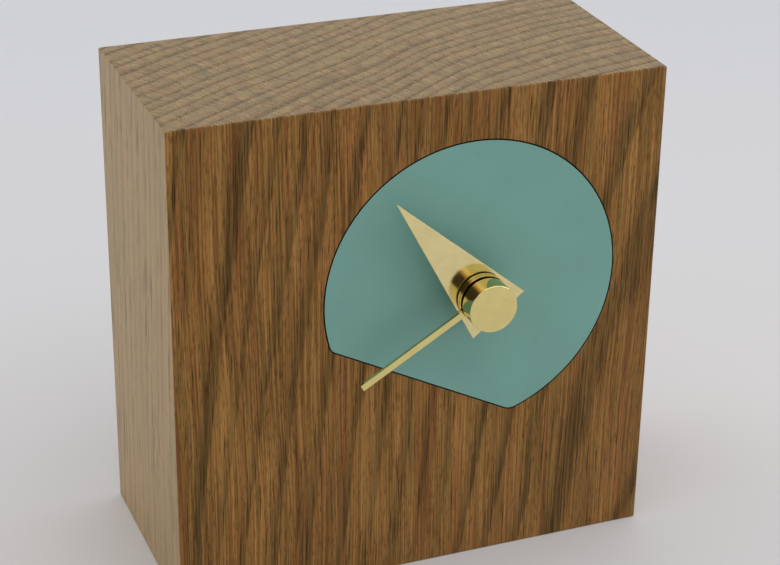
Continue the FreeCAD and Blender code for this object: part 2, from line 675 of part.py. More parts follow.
def stator_plate():
    """Two soft iron legs that meet in a ring round the rotor."""
    level = (BRIDGE_BACK, BRIDGE_BACK + STATOR_THICK)
    left, right = STATOR_POSTS
    top = COIL_V + LEG_END
    legs = [
        block(left - LEG_END, ROTOR[0] - LEG_OVERLAP, *STATOR_BAR, *level),
        block(left - LEG_END, left + LEG_END + 1, STATOR_BAR[0], top, *level),
        block(ROTOR[0] + LEG_OVERLAP, right + LEG_END, *STATOR_BAR, *level),
        block(right - LEG_END, right + LEG_END, STATOR_BAR[0], top, *level),
    ]
    holes = [disc(STATOR_HOLE_R, *level, ROTOR)]
    for turn in STATOR_NOTCHES:
        u, v = polar(STATOR_HOLE_R, radians(turn))
        holes.append(disc(NOTCH_R, *level, (ROTOR[0] + u, ROTOR[1] + v)))
    holes += [disc(POST_PIN_R, *level, (u, COIL_V)) for u in STATOR_POSTS]
    return disc(STATOR_RING_R, *level, ROTOR).fuse(legs).cut(holes)


def coil_core():
    """A soft iron strip through the coil, lying on the ends of the stator's legs."""
    front = BRIDGE_BACK + STATOR_THICK
    level = (front, front + CORE_THICK)
    left, right = STATOR_POSTS[0] - LEG_END, STATOR_POSTS[1] + LEG_END
    strip = block(left, right, COIL_V - CORE_WIDTH / 2, COIL_V + CORE_WIDTH / 2, *level)
    return strip.cut([disc(POST_PIN_R, *level, (u, COIL_V)) for u in STATOR_POSTS])


def coil_bobbin():
    half, thin = CORE_WIDTH / 2, CORE_THICK / 2
    tube = bar(BOBBIN_R, COIL_LEFT, COIL_RIGHT, COIL_V, COIL_DEPTH)
    flanges = [
        bar(COIL_FLANGE_R, start, start + COIL_FLANGE, COIL_V, COIL_DEPTH)
        for start in (COIL_LEFT, COIL_RIGHT - COIL_FLANGE)
    ]
    core = block(COIL_LEFT, COIL_RIGHT, COIL_V - half, COIL_V + half, COIL_DEPTH - thin, COIL_DEPTH + thin)
    return tube.fuse(flanges).cut(core)


def coil_winding():
    left, right = COIL_LEFT + COIL_FLANGE, COIL_RIGHT - COIL_FLANGE
    wound = bar(WINDING_R, left, right, COIL_V, COIL_DEPTH)
    return wound.cut(bar(BOBBIN_R, left, right, COIL_V, COIL_DEPTH))


# ---- Electronics and power ----------------------------------------------------------
def circuit_board():
    level = (BOARD_FRONT, BOARD_BACK)
    board = rounded_block(-BOARD_HALF_W, BOARD_HALF_W, BOARD_BOTTOM, BOARD_TOP, *level, BOARD_CORNER)
    return board.cut([disc(POST_R + 0.1, *level, (u, COIL_V)) for u in STATOR_POSTS])


def control_chip():
    """The bare chip's round drop of black resin."""
    u, v, radius, height = CHIP
    ball_r = (radius ** 2 + height ** 2) / (2 * height)
    ball = Part.makeSphere(ball_r, place(u, v, BOARD_BACK + height - ball_r))
    return ball.common(disc(radius, BOARD_BACK, BOARD_BACK + height, (u, v)))


def quartz_crystal():
    """A small metal can lying on the board, with two wire leads."""
    left, v, radius = CRYSTAL
    end, depth = left + CRYSTAL_LENGTH, BOARD_BACK + radius
    pieces = []
    for side in (-LEAD_APART, LEAD_APART):
        pieces.append(bar(LEAD_R, end, end + LEAD_LENGTH, v + side, depth))
        pieces.append(disc(LEAD_R, BOARD_BACK, depth, (end + LEAD_LENGTH, v + side)))
    return bar(radius, left, end, v, depth).fuse(pieces)


def contact_strip(side):
    """A strip up the side wall, from the battery bay to the circuit board."""
    inner = INSIDE - CONTACT_THICK
    top = CONTACT_TAB[1]
    tab_back = BOARD_BACK + CONTACT_THICK
    plate = beside(side, inner, INSIDE, *plate_ends(), *CONTACT_PLATE)
    strip = beside(side, inner, INSIDE, plate_ends()[1], top, BOARD_BACK, CONTACT_STRIP_BACK)
    tab = beside(side, BOARD_HALF_W - CONTACT_TAB_LENGTH, INSIDE, *CONTACT_TAB, BOARD_BACK, tab_back)
    return plate.fuse([strip, tab])


def positive_contact():
    return contact_strip(1)


def negative_contact():
    """The strip at the flat end of the battery, with a bowed spring leaf."""
    root, crest = -INSIDE + CONTACT_THICK, BATTERY_LEFT
    under = crest - 1.2 * CONTACT_THICK
    foot, top = LEAF_FOOT - 0.7, LEAF_CREST - 0.15
    bow = [(root, LEAF_FOOT), (crest, LEAF_CREST), (crest, -LEAF_CREST), (root, -LEAF_FOOT)]
    bow += [(root, -foot), (under, -top), (under, top), (root, foot)]
    span = (BATTERY_DEPTH - LEAF_HALF, BATTERY_DEPTH + LEAF_HALF)
    leaf = prism([(u, BATTERY_V + v) for u, v in bow], *span)
    return contact_strip(-1).fuse(leaf)


def battery_can():
    """A steel can with rounded rims and a contact nub at its positive end."""
    radius = BATTERY_R - JACKET
    can = bar(radius, BATTERY_LEFT, BATTERY_RIGHT, BATTERY_V, BATTERY_DEPTH)
    rims = [edge for edge in can.Edges if edge.Closed]
    nub = bar(BATTERY_NUB_R, BATTERY_RIGHT, BATTERY_RIGHT + BATTERY_NUB, BATTERY_V, BATTERY_DEPTH)
    return can.makeFillet(BATTERY_RIM, rims).fuse(nub)


def battery_jacket():
    left, right = BATTERY_LEFT + BATTERY_RIM, BATTERY_RIGHT - BATTERY_RIM
    film = bar(BATTERY_R, left, right, BATTERY_V, BATTERY_DEPTH)
    return film.cut(bar(BATTERY_R - JACKET, left, right, BATTERY_V, BATTERY_DEPTH))


# ---- Hand setting -------------------------------------------------------------------
def setting_shaft():
    """A pinion in mesh with the minute wheel, and a shaft out through the rear cover."""
    back = CANNON_LEVEL + MOTION_THICK
    pinion = gear(SETTING_TEETH, CANNON_MODULE, SETTING_PHASE, CANNON_LEVEL, back, SETTING, PINION_TOOTH)
    shaft = disc(SETTING_SHAFT_R, back, SETTING_SHAFT_END, SETTING)
    return pinion.fuse([shaft, disc(SETTING_PIVOT_R, FLOOR + 0.2, CANNON_LEVEL, SETTING)])


def setting_knob():
    """A fluted finger wheel pressed on the end of the setting shaft."""
    knob = disc(SETTING_KNOB_R, *SETTING_KNOB, SETTING)
    knob = knob.makeChamfer(0.4, [edge for edge in knob.Edges if edge.Closed])
    flutes = []
    for index in range(SETTING_FLUTES):
        u, v = polar(SETTING_KNOB_R + 0.25, 2 * pi * index / SETTING_FLUTES)
        flutes.append(disc(0.5, *SETTING_KNOB, (SETTING[0] + u, SETTING[1] + v)))
    return knob.cut(flutes + [disc(SETTING_SHAFT_R, SETTING_KNOB[0], SETTING_SHAFT_END, SETTING)])


PIECES = (
    case_block, dial_plate, rubber_gasket, threaded_bush, dial_washer, fixing_nut,
    hour_hand, hour_hand_collet, minute_hand, hub_knob,
    movement_front_case, movement_rear_cover, gear_bridge,
    centre_wheel, minute_pipe, hour_wheel, minute_wheel, third_wheel,
    seconds_wheel, seconds_arbor, fifth_wheel, rotor_pinion, rotor_magnet,
    stator_plate, coil_core, coil_bobbin, coil_winding,
    circuit_board, control_chip, quartz_crystal, positive_contact, negative_contact,
    battery_can, battery_jacket, setting_shaft, setting_knob,
)

os.makedirs("parts", exist_ok=True)
for piece in PIECES:
    shape = one_solid(piece())
    assert shape.isValid(), piece.__name__
    shape.exportStep("parts/" + piece.__name__ + ".step")
    print(piece.__name__, round(shape.Volume, 2))
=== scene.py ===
from math import radians

import bpy
from mathutils import Matrix, Quaternion, Vector


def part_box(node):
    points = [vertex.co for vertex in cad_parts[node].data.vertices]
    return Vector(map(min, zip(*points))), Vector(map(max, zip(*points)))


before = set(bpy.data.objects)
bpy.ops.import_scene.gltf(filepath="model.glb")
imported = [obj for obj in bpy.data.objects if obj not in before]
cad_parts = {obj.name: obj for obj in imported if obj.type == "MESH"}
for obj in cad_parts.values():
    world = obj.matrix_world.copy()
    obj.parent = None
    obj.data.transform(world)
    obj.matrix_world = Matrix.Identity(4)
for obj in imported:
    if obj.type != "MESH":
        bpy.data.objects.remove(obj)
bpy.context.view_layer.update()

# Mantel clock: an oiled oak block with an inlaid laminate dial, polished brass hands and a
# quartz movement in a pocket at the back. Metres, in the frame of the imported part: X to the
# right of someone facing the clock, Y from front to back, Z up.
#
# Every pattern is solid: it is worked out from the object's own coordinates, so a face, an edge
# and the inside of a cut all show the same wood. Everything in a material is in millimetres. A
# range is (start, end), then the results at its start and end if they aren't 0 and 1.

MM = 0.001
HUB = (15.5, 91.8)                   # the hands' axis, in x and z, in millimetres


# ---- Shader graphs ------------------------------------------------------------------
MIX_FIRST, MIX_SECOND, MIX_RESULT = 6, 7, 2      # a mix node's colour sockets


class Surface:
    """A procedural material, put together from short calls that return sockets."""

    def __init__(self, name):
        self.data = bpy.data.materials.new(name)
        self.data.use_nodes = True
        self.graph = self.data.node_tree
        self.graph.nodes.clear()
        source = self.node("ShaderNodeTexCoord")
        self.mm = self.vector("SCALE", source.outputs["Object"], scale=1 / MM)
        self.x, self.y, self.z = self.split(self.mm)
        self.facing = self.split(source.outputs["Normal"])

    def feed(self, socket, value):
        """Give a socket a number, a colour or another node's output."""
        if isinstance(value, bpy.types.NodeSocket):
            self.graph.links.new(value, socket)
        elif socket.type == "RGBA" and len(value) == 3:
            socket.default_value = (*value, 1.0)
        else:
            socket.default_value = value

    def node(self, kind, **settings):
        made = self.graph.nodes.new(kind)
        for name, value in settings.items():
            setattr(made, name, value)
        return made

    def math(self, operation, *values):
        made = self.node("ShaderNodeMath", operation=operation)
        for socket, value in zip(made.inputs, values):
            self.feed(socket, value)
        return made.outputs[0]

    def add(self, *values):
        return self.chain("ADD", values)

    def times(self, *values):
        return self.chain("MULTIPLY", values)

    def chain(self, operation, values):
        total = values[0]
        for value in values[1:]:
            total = self.math(operation, total, value)
        return total

    def minus(self, a, b):
        return self.math("SUBTRACT", a, b)

    def larger(self, a, b):
        return self.math("MAXIMUM", a, b)

    def vector(self, operation, *values, scale=None):
        made = self.node("ShaderNodeVectorMath", operation=operation)
        for socket, value in zip(made.inputs, values):
            self.feed(socket, value)
        if scale is not None:
            made.inputs["Scale"].default_value = scale
        return made.outputs["Value" if operation == "LENGTH" else "Vector"]

    def split(self, vector):
        made = self.node("ShaderNodeSeparateXYZ")
        self.feed(made.inputs[0], vector)
        return made.outputs["X"], made.outputs["Y"], made.outputs["Z"]

    def join(self, x, y, z):
        made = self.node("ShaderNodeCombineXYZ")
        for socket, value in zip(made.inputs, (x, y, z)):
            self.feed(socket, value)
        return made.outputs[0]

    def stretched(self, vector, size):
        """The vector measured in cells of this size: one number, or one per axis."""
        return self.vector("DIVIDE", vector, size if isinstance(size, tuple) else (size,) * 3)

    def noise(self, vector, size, detail=2.0, rough=0.5, output="Fac"):
        """Smooth noise from 0 to 1 with features of this size."""
        made = self.node("ShaderNodeTexNoise", noise_dimensions="3D")
        self.feed(made.inputs["Vector"], self.stretched(vector, size))
        made.inputs["Scale"].default_value = 1.0
        made.inputs["Detail"].default_value = detail
        made.inputs["Roughness"].default_value = rough
        return made.outputs[output]

    def cells(self, vector, size):
        """Points scattered one to a cell: (distance to the nearest, a random number of its own)."""
        made = self.node("ShaderNodeTexVoronoi", voronoi_dimensions="3D", feature="F1")
        self.feed(made.inputs["Vector"], self.stretched(vector, size))
        made.inputs["Scale"].default_value = 1.0
        return made.outputs["Distance"], self.split(made.outputs["Color"])[0]

    def spots(self, vector, size, edge, pick):
        """1 inside the spots of some of the cells, with the range of a spot's edge and of the pick."""
        near, own = self.cells(vector, size)
        return self.times(self.ramp(near, *edge), self.ramp(own, *pick))

    def ramp(self, value, start, end, low=0.0, high=1.0):
        """Smoothly from low to high as value goes from start to end, and level outside."""
        made = self.node("ShaderNodeMapRange", interpolation_type="SMOOTHSTEP", clamp=True)
        limits = {"From Min": start, "From Max": end, "To Min": low, "To Max": high}
        for name, number in limits.items():
            self.feed(made.inputs[name], number)
        self.feed(made.inputs["Value"], value)
        return made.outputs["Result"]

    def mix(self, share, first, second):
        made = self.node("ShaderNodeMix", data_type="RGBA", clamp_factor=True)
        self.feed(made.inputs["Factor"], share)
        self.feed(made.inputs[MIX_FIRST], first)
        self.feed(made.inputs[MIX_SECOND], second)
        return made.outputs[MIX_RESULT]

    def shade(self, colour, brightness):
        """A colour made lighter or darker by a number round 1."""
        return self.vector("MULTIPLY", colour, self.join(brightness, brightness, brightness))

    def bump(self, height, depth, strength=1.0):
        made = self.node("ShaderNodeBump")
        made.inputs["Strength"].default_value = strength
        made.inputs["Distance"].default_value = depth * MM
        self.feed(made.inputs["Height"], height)
        return made.outputs["Normal"]

    def glancing(self):
        """0 where the surface is seen square on, to 1 where it is seen edge on."""
        return self.node("ShaderNodeLayerWeight").outputs["Facing"]

    def from_hub(self):
        """The distance from the hands' axis."""
        x, z = HUB
        return self.vector("LENGTH", self.join(self.minus(self.x, x), 0.0, self.minus(self.z, z)))

    def finish(self, **sockets):
        """The shader itself, with underscores for the blanks in its sockets' names."""
        shader = self.node("ShaderNodeBsdfPrincipled")
        for name, value in sockets.items():
            self.feed(shader.inputs[name.replace("_", " ")], value)
        output = self.node("ShaderNodeOutputMaterial")
        self.graph.links.new(shader.outputs[0], output.inputs["Surface"])
        return self.data


# ---- Oak ----------------------------------------------------------------------------
PITH = (143.0, -346.0)               # the middle of the tree, right of the block and in front
PITH_TO_BLOCK = 330.0                # about how far that is, to turn angles into lengths
RING_WIDTH = 4.9
RING_UNEVEN = 1.3                    # how far good and bad years shift the rings, in rings
RING_FRAY = 0.16                     # how ragged a ring's edges are, in rings
RING_BEND = (3.0, 22.0, -5.0)        # middle in x, half width and height of a bend in the rings
RING_TAPER = 0.006                   # how much a ring's radius shrinks per millimetre of height
GRAIN_LEAN = (0.025, -0.06)          # drift of the fibres in x and y per millimetre of height
GRAIN_WANDER = 4.0                   # how far they stray from a straight line

# colours, and how much of each shows where its pattern is strongest
GOLDEN = (0.292, 0.150, 0.044)
REDDISH = (0.255, 0.108, 0.034)
OLIVE, OLIVE_SHARE = (0.180, 0.112, 0.034), 0.80
SPRING_WOOD, SPRING_SHARE = (0.084, 0.055, 0.019), 0.74
RAY, RAY_SHARE = (0.150, 0.066, 0.020), 0.60
PORE, PORE_SHARE = (0.045, 0.022, 0.008), 0.72
FINE_PORE_SHARE = 0.48
SIDE_WOOD_AND_LIGHT, SIDE_WOOD_AND_LIGHT_SHARE = (0.388, 0.258, 0.108), 0.52    # the sides, sawn along the rays: partly their own paler wood and partly painted light for the light and sheen they catch
SIDE_PORE_AND_LIGHT = (0.120, 0.062, 0.018)
END_GRAIN_AND_SHEEN = (0.87, 1.09, 1.43)       # the tint of the cut ends of the fibres, partly their own and partly painted sheen that greys the top
END_BAND_AND_SHEEN = (0.86, 0.88, 1.00)        # the same in the porous part of each ring
END_RAY, END_RAY_SHARE = (0.36, 0.26, 0.11), 0.45
END_PORE_SHARE = 0.34
RECESS_SHADE, RECESS_SHADE_SHARE = (0.012, 0.009, 0.007), 0.93     # painted shade on the dial's recess walls, for the shadow in the gap round the dial

# sizes in x, y and z of patterns that follow the fibres
WANDER_SIZE = (30, 30, 90)
PATCH_SIZE = (3, 3, 70)
MOOD_SIZE = (6, 6, 140)
PORE_SIZE = (0.50, 0.90, 30)
FINE_PORE_SIZE = (0.36, 0.60, 4.5)

# sizes round the tree, outward and up of patterns that follow the tree
FRAY_SIZE = (1.2, 8, 60)
RAY_SIZE = (0.42, 15, 4)
HUE_SIZE = (1.0, 10, 95)
STREAK_SIZE = (0.36, 6, 50)
END_PORE_SIZE = (0.55, 1.50, 30)
UNEVEN_SIZE = 11                     # these two vary outward only
VIGOUR_SIZE = 5

# ranges of the season, which runs from 0 to 1 in each ring
SPRING_COMES, SPRING_GOES = (0.92, 1.0), (0.40, 0.06)
BAND_COMES, BAND_GOES = (0.88, 1.0), (0.62, 0.14)

# ranges of the patterns
PATCHY = (0.32, 0.60, 0.55, 1.0)     # spring wood is weaker here and there along a ring
VIGOUR = (0.34, 0.58, 0.4, 1.0)      # and in some of the years
PORE_EDGE, PORE_PICK = (0.50, 0.26), (0.84, 0.92)
PORE_SPRING = 0.60                   # how much spring wood helps a pore to be picked
FINE_PORE_EDGE, FINE_PORE_PICK = (0.45, 0.2), (0.45, 0.60)
END_PORE_EDGE, END_PORE_PICK = (0.50, 0.25), (0.35, 0.50)
RAY_EDGE = (0.58, 0.68)
REDDISH_EDGE, OLIVE_EDGE = (0.44, 0.70), (0.44, 0.24)
STREAK_SHADE = (0.30, 0.70, 0.60, 1.36)
MOOD_SHADE = (0.25, 0.75, 0.88, 1.16)
SQUARE_TO = (0.6, 0.8)               # how squarely a face looks along an axis, from 0 to 1
RECESS_FRONT, RECESS_BACK = (-34.95, -34.80), (-32.0, -32.5)
RECESS_RIM = (47.0, 46.5)            # just past the recess's wall, from the hands' axis

# the oiled surface
OIL_TINT = (1.0, 0.98, 0.70)
OIL_GLOSS = (0.12, 0.85, 0.05, 0.62)
OIL_SHEEN = (0.12, 0.85, 0.05, 0.13)
OIL_ROUGHNESS, SPRING_ROUGHER, PORE_ROUGHER = 0.44, 0.08, 0.15
GRAIN_DEPTH, GRAIN_STRENGTH = 0.08, 0.6
STREAK_HEIGHT, FINE_PORE_DEPTH = 0.10, 0.25      # beside a pore's depth of 1


class Oak(Surface):
    """Ring-porous oak, from one block of a tree.

    fibre is (x, y, z) along the fibres, trunk is (round the tree, outward, up), ring is outward
    alone, and season runs from 0 to 1 in each ring."""

    def __init__(self, name):
        super().__init__(name)
        wander = self.noise(self.mm, WANDER_SIZE, detail=1, output="Color")
        wander = self.vector("SUBTRACT", wander, (0.5, 0.5, 0.5))
        wander_x, wander_y, _ = self.split(self.vector("SCALE", wander, scale=GRAIN_WANDER))
        lean_x, lean_y = GRAIN_LEAN
        fibre_x = self.add(self.x, self.times(self.z, -lean_x), wander_x)
        fibre_y = self.add(self.y, self.times(self.z, -lean_y), wander_y)
        self.fibre = self.join(fibre_x, fibre_y, self.z)

        from_pith_x = self.minus(fibre_x, PITH[0])
        from_pith_y = self.minus(fibre_y, PITH[1])
        radius = self.vector("LENGTH", self.join(from_pith_x, from_pith_y, 0.0))
        middle, half, rise = RING_BEND
        bend = self.math("TANH", self.times(self.minus(self.x, middle), 1 / half))
        radius = self.add(radius, self.times(self.z, RING_TAPER), self.times(bend, rise))
        around = self.times(self.math("ARCTAN2", from_pith_y, from_pith_x), PITH_TO_BLOCK)
        self.trunk = self.join(around, radius, self.z)
        self.ring = self.join(radius, 0.0, 0.0)

        uneven = self.noise(self.ring, UNEVEN_SIZE, detail=1)
        fray = self.noise(self.trunk, FRAY_SIZE, detail=1)
        years = self.add(self.times(radius, 1 / RING_WIDTH), self.times(uneven, RING_UNEVEN),
                         self.times(fray, RING_FRAY))
        self.season = self.math("FRACT", years)

    def spring(self):
        """The dark porous wood that starts each ring."""
        spring = self.larger(self.ramp(self.season, *SPRING_GOES), self.ramp(self.season, *SPRING_COMES))
        patchy = self.ramp(self.noise(self.fibre, PATCH_SIZE, detail=1), *PATCHY)
        vigour = self.ramp(self.noise(self.ring, VIGOUR_SIZE, detail=1), *VIGOUR)
        return self.times(spring, patchy, vigour)

    def pores(self, spring):
        """Long pores, many in spring wood and few in summer wood."""
        near, own = self.cells(self.fibre, PORE_SIZE)
        chosen = self.ramp(self.add(own, self.times(spring, PORE_SPRING)), *PORE_PICK)
        return self.times(self.ramp(near, *PORE_EDGE), chosen)

    def faces(self, axis):
        """1 on faces that look along an axis, either way."""
        return self.ramp(self.math("ABSOLUTE", self.facing[axis]), *SQUARE_TO)

    def heartwood(self, spring, ray, streak):
        """The wood's colour before its pores."""
        hue = self.noise(self.trunk, HUE_SIZE, detail=1)
        mood = self.noise(self.fibre, MOOD_SIZE, detail=1)
        colour = self.mix(self.ramp(hue, *REDDISH_EDGE), GOLDEN, REDDISH)
        colour = self.mix(self.times(self.ramp(hue, *OLIVE_EDGE), OLIVE_SHARE), colour, OLIVE)
        colour = self.mix(self.times(spring, SPRING_SHARE), colour, SPRING_WOOD)
        colour = self.mix(self.times(ray, RAY_SHARE), colour, RAY)
        colour = self.shade(colour, self.ramp(streak, *STREAK_SHADE))
        return self.shade(colour, self.ramp(mood, *MOOD_SHADE))

    def cut_ends(self, colour, ray):
        """The colour where the fibres are cut across, with each ring's band of pore ends; its tint is
        partly the cut ends' own hue and partly painted sheen.
        """
        band = self.larger(self.ramp(self.season, *BAND_GOES), self.ramp(self.season, *BAND_COMES))
        pore = self.times(self.spots(self.trunk, END_PORE_SIZE, END_PORE_EDGE, END_PORE_PICK), band)
        colour = self.vector("MULTIPLY", colour, self.mix(band, END_GRAIN_AND_SHEEN, END_BAND_AND_SHEEN))
        colour = self.mix(self.times(pore, END_PORE_SHARE), colour, PORE)
        return self.mix(self.times(ray, END_RAY_SHARE), colour, END_RAY)

    def recess(self):
        """1 on the walls of the dial's recess, where shade is painted."""
        return self.times(self.ramp(self.y, *RECESS_FRONT), self.ramp(self.y, *RECESS_BACK),
                          self.ramp(self.from_hub(), *RECESS_RIM))


def oiled_oak():
    wood = Oak("oiled_oak")
    spring = wood.spring()
    pore = wood.pores(spring)
    fine_pore = wood.spots(wood.fibre, FINE_PORE_SIZE, FINE_PORE_EDGE, FINE_PORE_PICK)
    ray = wood.ramp(wood.noise(wood.trunk, RAY_SIZE, detail=1), *RAY_EDGE)
    streak = wood.noise(wood.trunk, STREAK_SIZE, detail=2, rough=0.6)

    # partly painted light: the sides get paler wood and pores, partly their own look and partly standing
    # for the light and sheen on them
    side = wood.faces(0)
    pore_colour = wood.mix(side, PORE, SIDE_PORE_AND_LIGHT)
    colour = wood.heartwood(spring, ray, streak)
    colour = wood.mix(wood.times(side, SIDE_WOOD_AND_LIGHT_SHARE), colour, SIDE_WOOD_AND_LIGHT)
    colour = wood.mix(wood.times(fine_pore, FINE_PORE_SHARE), colour, pore_colour)
    colour = wood.mix(wood.times(pore, PORE_SHARE), colour, pore_colour)
    # partly painted sheen: the top and bottom take the cut-end tint
    colour = wood.mix(wood.faces(2), colour, wood.cut_ends(colour, ray))
    # painted shade: the recess walls are darkened to stand for the shadow in the gap round the dial
    colour = wood.mix(wood.times(wood.recess(), RECESS_SHADE_SHARE), colour, RECESS_SHADE)

    holes = wood.add(pore, wood.times(fine_pore, FINE_PORE_DEPTH))
    height = wood.minus(wood.times(streak, STREAK_HEIGHT), holes)
    glancing = wood.glancing()
    roughness = wood.add(OIL_ROUGHNESS, wood.times(spring, SPRING_ROUGHER),
                         wood.times(pore, PORE_ROUGHER))
    return wood.finish(
        Base_Color=colour,
        Roughness=roughness,
        IOR=1.6,
        Specular_IOR_Level=wood.ramp(glancing, *OIL_GLOSS),
        Specular_Tint=OIL_TINT,
        Sheen_Weight=wood.ramp(glancing, *OIL_SHEEN),
        Sheen_Roughness=0.40,
        Sheen_Tint=OIL_TINT,
        Normal=wood.bump(height, GRAIN_DEPTH, GRAIN_STRENGTH),
    )


# ---- Dial ---------------------------------------------------------------------------
LAMINATE = (0.181, 0.390, 0.332)
LAMINATE_CORE = (0.020, 0.016, 0.013)
SPECK, SPECK_SHARE = (0.10, 0.22, 0.18), 0.35
SPECK_SIZE, SPECK_EDGE, SPECK_PICK = 4, (0.10, 0.05), (0.80, 0.84)
CLOUD_SIZE, CLOUD_SHADE, CLOUD_ROUGHNESS = 14, (0.3, 0.7, 0.97, 1.03), (0.3, 0.7, 0.36, 0.42)
SATIN_SIZE, SATIN_DEPTH, SATIN_STRENGTH = 0.25, 0.01, 0.35
DIAL_FRONT = (-0.6, -0.9)            # how squarely a face looks forwards


def dial_laminate():
    """Satin coloured laminate over a dark core, which shows at the cut edge."""
    sheet = Surface("dial_laminate")
    cloud = sheet.noise(sheet.mm, CLOUD_SIZE, detail=3)
    speck = sheet.spots(sheet.mm, SPECK_SIZE, SPECK_EDGE, SPECK_PICK)
    colour = sheet.shade(LAMINATE, sheet.ramp(cloud, *CLOUD_SHADE))
    colour = sheet.mix(sheet.times(speck, SPECK_SHARE), colour, SPECK)
    return sheet.finish(
        Base_Color=sheet.mix(sheet.ramp(sheet.facing[1], *DIAL_FRONT), LAMINATE_CORE, colour),
        Roughness=sheet.ramp(cloud, *CLOUD_ROUGHNESS),
        IOR=1.45,
        Normal=sheet.bump(sheet.noise(sheet.mm, SATIN_SIZE), SATIN_DEPTH, SATIN_STRENGTH),
    )


# ---- Metals -------------------------------------------------------------------------
BRASS = (0.78, 0.665, 0.280)
BRASS_SHEET = (0.81, 0.700, 0.350)
# painted shade for the groove behind the knob
GROOVE_SHADE = (0.020, 0.006, 0.002)
SHEET_FRONT = (-43.08, -43.03)       # between the minute hand's boss and the hour hand's sheet
GROOVE_FRONT, GROOVE_BACK = (-45.34, -45.31), (-44.06, -44.09)
GROOVE_RIM = (7.35, 7.33)            # just under the knob's own surface
GROOVE_ROUGHER = 0.4
TARNISH_SIZE, TARNISH_SHADE, TARNISH_ROUGHNESS = 5, (0.3, 0.75, 1.04, 0.95), (0.3, 0.75, 0.09, 0.14)
WEAR_SIZE, WEAR_SHADE = (1.6, 9.0, 3.0), (0.60, 0.72, 1.0, 0.93)
SCRATCH_SIZE, SCRATCH_DEPTH = (0.14, 9.0, 2.5), 0.0015
DULL_SIZE, DULL_RANGE, DULL_SHADE = 6, (0.3, 0.75), (1.03, 0.95)
DULL_ROUGHNESS = (0.85, 1.25)        # times the metal's own roughness


def polished_brass():
    """Hand-polished brass, paler on the sheet of the hour hand, with painted shade: the groove behind the
    knob is painted black for the shadow between the knob and the minute hand's boss."""
    brass = Surface("polished_brass")
    tarnish = brass.noise(brass.mm, TARNISH_SIZE, detail=3, rough=0.6)
    scratch = brass.noise(brass.mm, SCRATCH_SIZE, detail=3, rough=0.6)
    wear = brass.noise(brass.mm, WEAR_SIZE, detail=2, rough=0.6)
    colour = brass.mix(brass.ramp(brass.y, *SHEET_FRONT), BRASS, BRASS_SHEET)
    colour = brass.shade(colour, brass.ramp(tarnish, *TARNISH_SHADE))
    colour = brass.shade(colour, brass.ramp(wear, *WEAR_SHADE))
    # painted shade: the knob's back and the boss's front, in the groove, are painted black for the shadow
    # there
    groove = brass.times(brass.ramp(brass.y, *GROOVE_FRONT), brass.ramp(brass.y, *GROOVE_BACK),
                         brass.ramp(brass.from_hub(), *GROOVE_RIM))
    return brass.finish(
        Base_Color=brass.mix(groove, colour, GROOVE_SHADE),
        Metallic=1.0,
        Roughness=brass.add(brass.ramp(tarnish, *TARNISH_ROUGHNESS), brass.times(groove, GROOVE_ROUGHER)),
        Normal=brass.bump(scratch, SCRATCH_DEPTH),
    )


def metal(name, colour, roughness, lines=(0.12, 8.0, 0.12), depth=0.002):
    """Polished or drawn metal, with fine lines of a size given per axis, and dull in places."""
    made = Surface(name)
    scratch = made.noise(made.mm, lines, detail=3, rough=0.6)
    dull = made.noise(made.mm, DULL_SIZE, detail=3, rough=0.6)
    least, most = (share * roughness for share in DULL_ROUGHNESS)
    return made.finish(
        Base_Color=made.shade(colour, made.ramp(dull, *DULL_RANGE, *DULL_SHADE)),
        Metallic=1.0,
        Roughness=made.ramp(dull, *DULL_RANGE, least, most),
        Normal=made.bump(scratch, depth),
    )


# ---- Plastics and the rest ----------------------------------------------------------
MOULDED_SIZE, MOULDED_SHADE = 9, (0.3, 0.7, 0.93, 1.07)
SKIN_RANGE, SKIN_STRENGTH = (0.3, 0.7), 0.5
SKIN_ROUGHNESS = (-0.05, 0.08)       # added to the plastic's own roughness


def moulded(name, colour, roughness, grain=0.30, depth=0.005):
    """Moulded plastic or rubber with a fine etched skin."""
    made = Surface(name)
    skin = made.noise(made.mm, grain, detail=3, rough=0.6)
    cloud = made.noise(made.mm, MOULDED_SIZE)
    least, most = (roughness + change for change in SKIN_ROUGHNESS)
    return made.finish(
        Base_Color=made.shade(colour, made.ramp(cloud, *MOULDED_SHADE)),
        Roughness=made.ramp(skin, *SKIN_RANGE, least, most),
        Normal=made.bump(skin, depth, SKIN_STRENGTH),
    )


FILM, FILM_COPPER = (0.035, 0.075, 0.060), (0.62, 0.34, 0.17)
FILM_BAND = 13.0                     # the copper band's width, from the battery's raised end
FILM_LINE = (15.0, 14.5)             # the thin line's two sides, from the same end
FILM_BLUR = 0.1                      # the width over which one colour becomes the other
FILM_SHINE = 0.6                     # how metallic the copper band is
FILM_SIZE, FILM_SHADE, FILM_ROUGHNESS = 4, (0.3, 0.7, 0.94, 1.06), (0.3, 0.7, 0.24, 0.32)
FILM_DEPTH, FILM_STRENGTH = 0.02, 0.3


def battery_film():
    """Printed film: a dark body, a copper-coloured band at the raised end and a thin line."""
    film = Surface("battery_film")
    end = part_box("battery_jacket")[1][0] / MM
    band_side = end - FILM_BAND
    line_left, line_right = end - FILM_LINE[0], end - FILM_LINE[1]
    band = film.ramp(film.x, band_side - FILM_BLUR, band_side)
    line = film.times(film.ramp(film.x, line_left - FILM_BLUR, line_left),
                      film.ramp(film.x, line_right + FILM_BLUR, line_right))
    cloud = film.noise(film.mm, FILM_SIZE)
    colour = film.mix(film.larger(band, line), FILM, FILM_COPPER)
    return film.finish(
        Base_Color=film.shade(colour, film.ramp(cloud, *FILM_SHADE)),
        Metallic=film.times(band, FILM_SHINE),
        Roughness=film.ramp(cloud, *FILM_ROUGHNESS),
        Normal=film.bump(cloud, FILM_DEPTH, FILM_STRENGTH),
    )


